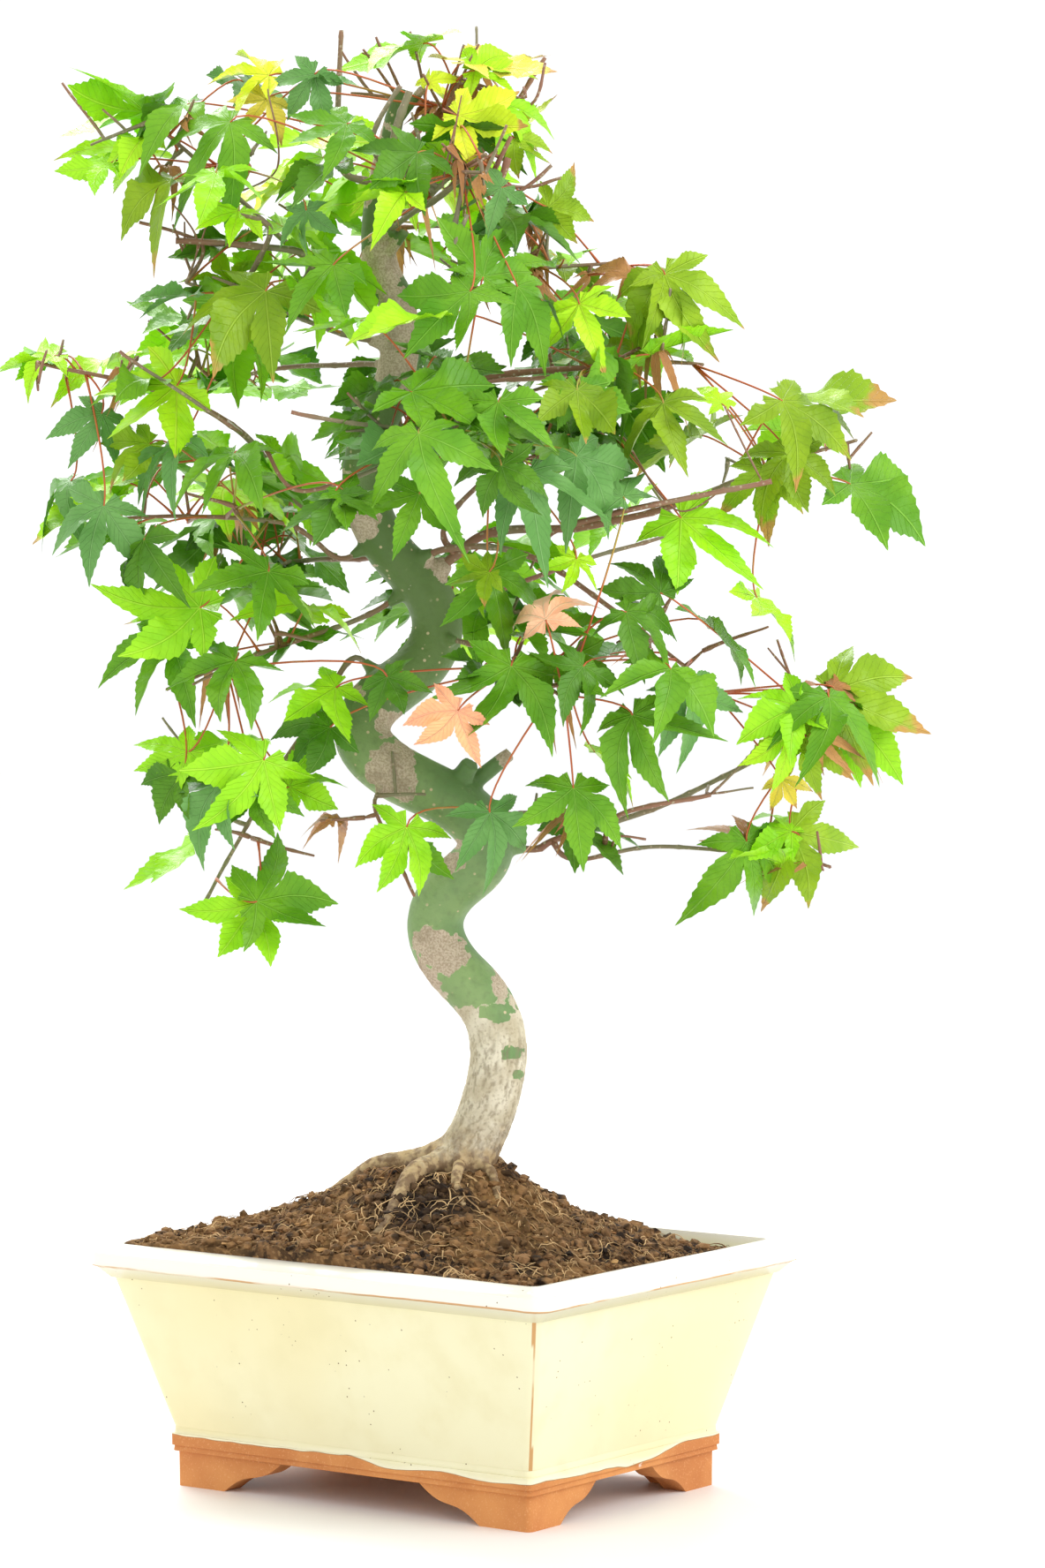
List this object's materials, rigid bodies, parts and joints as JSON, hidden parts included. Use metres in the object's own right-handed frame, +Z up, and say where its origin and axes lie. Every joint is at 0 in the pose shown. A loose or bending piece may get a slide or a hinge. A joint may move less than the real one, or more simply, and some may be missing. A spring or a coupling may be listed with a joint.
{
  "type": "potted maple bonsai",
  "caption": "Small potted maple bonsai: S-bent trunk, layered palmate leaves, mound of soil in a rectangular glazed pot on bracket feet.",
  "frame": {"origin": "middle of the whole plant's footprint box, on the ground under the pot's feet", "axes": "+Z up, +X along the pot's long side, +Y along its short side; the tree's front faces about 36 degrees from -Y towards +X"},
  "size_m": [0.2684, 0.2244, 0.483],
  "materials": {
    "glaze": "glossy cream glaze over terracotta",
    "soil": "rough fibrous peat",
    "bark": "olive green bark with grey tan patches",
    "twig_bark": "reddish brown twig bark",
    "leaves": "satin green leaves"
  },
  "bodies": {
    "root": {"bough_far_left": "twig_bark", "bough_far_right": "twig_bark", "bough_hanging_right": "twig_bark", "bough_low_back_left": "twig_bark", "bough_low_back_right": "twig_bark", "bough_low_front": "twig_bark", "bough_low_left": "twig_bark", "bough_low_right": "twig_bark", "bough_lowest_left": "twig_bark", "bough_mid_back": "twig_bark", "bough_mid_back_left": "twig_bark", "bough_mid_inner": "twig_bark", "bough_mid_left": "twig_bark", "bough_mid_right": "twig_bark", "bough_top_back": "twig_bark", "bough_top_front": "twig_bark", "bough_top_left": "twig_bark", "bough_upper_back": "twig_bark", "bough_upper_right": "twig_bark", "foliage_far_left": "leaves", "foliage_far_right": "leaves", "foliage_hanging_right": "leaves", "foliage_low_back": "leaves", "foliage_low_back_left": "leaves", "foliage_low_back_right": "leaves", "foliage_low_centre": "leaves", "foliage_low_front": "leaves", "foliage_low_left": "leaves", "foliage_low_right": "leaves", "foliage_low_small": "leaves", "foliage_lowest_left": "leaves", "foliage_mid_back": "leaves", "foliage_mid_back_left": "leaves", "foliage_mid_front": "leaves", "foliage_mid_inner": "leaves", "foliage_mid_left": "leaves", "foliage_mid_right": "leaves", "foliage_top": "leaves", "foliage_top_back": "leaves", "foliage_top_front": "leaves", "foliage_top_left": "leaves", "foliage_top_right": "leaves", "foliage_upper_back": "leaves", "foliage_upper_left": "leaves", "foliage_upper_right": "leaves", "pot": "glaze", "shoot_leader": "twig_bark", "shoot_right": "twig_bark", "soil": "soil", "trunk": "bark"}
  },
  "joints": []
}
